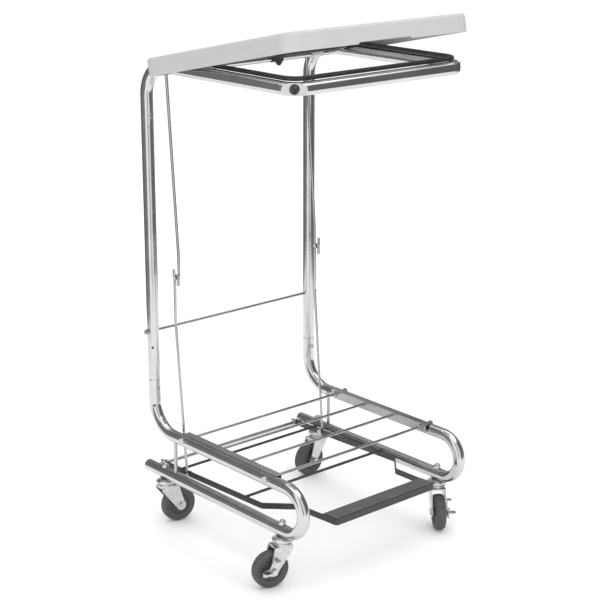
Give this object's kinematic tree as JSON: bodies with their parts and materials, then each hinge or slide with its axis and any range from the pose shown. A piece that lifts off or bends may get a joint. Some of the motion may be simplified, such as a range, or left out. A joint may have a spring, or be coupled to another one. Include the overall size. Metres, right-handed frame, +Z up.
{
  "type": "linen hamper stand",
  "caption": "Chrome bent-tube linen hamper stand on casters, with a bag ring and a white lid that a foot pedal opens through lift rods.",
  "frame": {"origin": "on the floor, at the centre of the rectangle that the four caster stems make", "axes": "+Z up; -Y is the side with the pedal; +X is to the right of someone who stands at the pedal and looks towards +Y"},
  "size_m": [0.5244, 0.5206, 1.0944],
  "materials": {
    "chrome_tube": "polished chrome",
    "chrome_rod": "polished chrome",
    "rack_steel": "bright plated",
    "zinc_hardware": "bright zinc",
    "zinc_caster": "bright zinc, pressed",
    "dark_bolt": "black oxide",
    "black_paint": "satin black enamel",
    "tread_rubber": "matt, textured",
    "ring_sleeve": "satin black",
    "clip_plastic": "textured black",
    "lid_plastic": "satin white",
    "bracket_plastic": "light grey",
    "wheel_rubber": "matt dark grey",
    "wheel_hub": "matt dark grey"
  },
  "bodies": {
    "stand": {"left_base_frame": "chrome_tube", "right_base_frame": "chrome_tube", "left_mid_post": "chrome_tube", "right_mid_post": "chrome_tube", "upper_frame": "chrome_tube", "lid_hinge_bar": "chrome_tube", "tie_rod": "chrome_rod", "frame_struts": "chrome_rod", "pedal_axle": "chrome_rod", "rack_wires": "chrome_rod", "left_rack_rail": "rack_steel", "right_rack_rail": "rack_steel", "frame_screws": "zinc_hardware", "corner_bolts": "dark_bolt", "tie_rod_nuts": "zinc_hardware", "rack_caps": "zinc_hardware", "rack_nuts": "zinc_hardware", "axle_collars": "zinc_hardware", "caster_stems": "zinc_caster", "caster_cups": "zinc_caster", "stem_nuts": "zinc_caster", "ring_clip": "clip_plastic"},
    "bag_ring": {"bag_ring_wire": "zinc_hardware", "bag_ring_sleeve": "ring_sleeve"},
    "lid": {"lid_shell": "lid_plastic", "lid_hinge_blocks": "bracket_plastic", "lid_screws": "zinc_hardware", "lid_lift_lugs": "zinc_hardware"},
    "pedal": {"pedal_bar": "black_paint", "pedal_cross_rods": "black_paint", "tread_plate": "black_paint", "tread_pad": "tread_rubber"},
    "left_lift_rod": {"left_lower_lift_rod": "chrome_rod", "left_upper_lift_rod": "chrome_rod", "left_pin_cap": "zinc_hardware"},
    "right_lift_rod": {"right_lower_lift_rod": "chrome_rod", "right_upper_lift_rod": "chrome_rod", "right_pin_cap": "zinc_hardware"},
    "front_left_swivel": {"front_left_fork": "zinc_caster", "front_left_axle_bolt": "zinc_hardware"},
    "front_left_wheel": {"front_left_tyre": "wheel_rubber", "front_left_hub": "wheel_hub"},
    "front_left_brake": {"front_left_brake_lever": "zinc_caster"},
    "front_right_swivel": {"front_right_fork": "zinc_caster", "front_right_axle_bolt": "zinc_hardware"},
    "front_right_wheel": {"front_right_tyre": "wheel_rubber", "front_right_hub": "wheel_hub"},
    "front_right_brake": {"front_right_brake_lever": "zinc_caster"},
    "rear_left_swivel": {"rear_left_fork": "zinc_caster", "rear_left_axle_bolt": "zinc_hardware"},
    "rear_left_wheel": {"rear_left_tyre": "wheel_rubber", "rear_left_hub": "wheel_hub"},
    "rear_right_swivel": {"rear_right_fork": "zinc_caster", "rear_right_axle_bolt": "zinc_hardware"},
    "rear_right_wheel": {"rear_right_tyre": "wheel_rubber", "rear_right_hub": "wheel_hub"}
  },
  "joints": [
    {"name": "pedal_press", "type": "hinge", "parent": "stand", "child": "pedal", "pos_m": [0, 0.2365, 0.115], "axis": [1, 0, 0], "range_deg": [-10.5, 3.4]},
    {"name": "lid_hinge", "type": "hinge", "parent": "stand", "child": "lid", "pos_m": [0, 0.1245, 0.986], "axis": [-1, 0, 0], "range_deg": [-12.2, 4]},
    {"name": "bag_ring_lift", "type": "hinge", "parent": "stand", "child": "bag_ring", "pos_m": [0, 0.1115, 0.995], "axis": [-1, 0, 0], "range_deg": [0, 10]},
    {"name": "left_rod_pin", "type": "hinge", "parent": "pedal", "child": "left_lift_rod", "pos_m": [0, 0.14854, 0.11761], "axis": [1, 0, 0], "range_deg": [-3.4, 10.5]},
    {"name": "right_rod_pin", "type": "hinge", "parent": "pedal", "child": "right_lift_rod", "pos_m": [0, 0.14854, 0.11761], "axis": [1, 0, 0], "range_deg": [-3.4, 10.5]},
    {"name": "front_left_swivel_turn", "type": "hinge", "parent": "stand", "child": "front_left_swivel", "pos_m": [-0.218, -0.1925, 0.09], "axis": [0, 0, 1], "continuous": true},
    {"name": "front_left_wheel_spin", "type": "hinge", "parent": "front_left_swivel", "child": "front_left_wheel", "pos_m": [-0.24528, -0.1862, 0.038], "axis": [-0.225, -0.9744, 0], "continuous": true},
    {"name": "front_left_brake_press", "type": "hinge", "parent": "front_left_swivel", "child": "front_left_brake", "pos_m": [-0.24528, -0.1862, 0.038], "axis": [-0.225, -0.9744, 0], "range_deg": [0, 18]},
    {"name": "front_right_swivel_turn", "type": "hinge", "parent": "stand", "child": "front_right_swivel", "pos_m": [0.218, -0.1925, 0.09], "axis": [0, 0, 1], "continuous": true},
    {"name": "front_right_wheel_spin", "type": "hinge", "parent": "front_right_swivel", "child": "front_right_wheel", "pos_m": [0.20194, -0.21544, 0.038], "axis": [0.8192, -0.5736, 0], "continuous": true},
    {"name": "front_right_brake_press", "type": "hinge", "parent": "front_right_swivel", "child": "front_right_brake", "pos_m": [0.20194, -0.21544, 0.038], "axis": [0.8192, -0.5736, 0], "range_deg": [0, 18]},
    {"name": "rear_left_swivel_turn", "type": "hinge", "parent": "stand", "child": "rear_left_swivel", "pos_m": [-0.218, 0.1925, 0.09], "axis": [0, 0, 1], "continuous": true},
    {"name": "rear_left_wheel_spin", "type": "hinge", "parent": "rear_left_swivel", "child": "rear_left_wheel", "pos_m": [-0.19027, 0.1886, 0.038], "axis": [0.1392, 0.9903, 0], "continuous": true},
    {"name": "rear_right_swivel_turn", "type": "hinge", "parent": "stand", "child": "rear_right_swivel", "pos_m": [0.218, 0.1925, 0.09], "axis": [0, 0, 1], "continuous": true},
    {"name": "rear_right_wheel_spin", "type": "hinge", "parent": "rear_right_swivel", "child": "rear_right_wheel", "pos_m": [0.19004, 0.19103, 0.038], "axis": [0.0523, -0.9986, 0], "continuous": true}
  ],
  "couplings": [
    {"joint": "lid_hinge", "follows": "pedal_press", "ratio": 1.16},
    {"joint": "left_rod_pin", "follows": "pedal_press", "ratio": -1},
    {"joint": "right_rod_pin", "follows": "pedal_press", "ratio": -1}
  ]
}
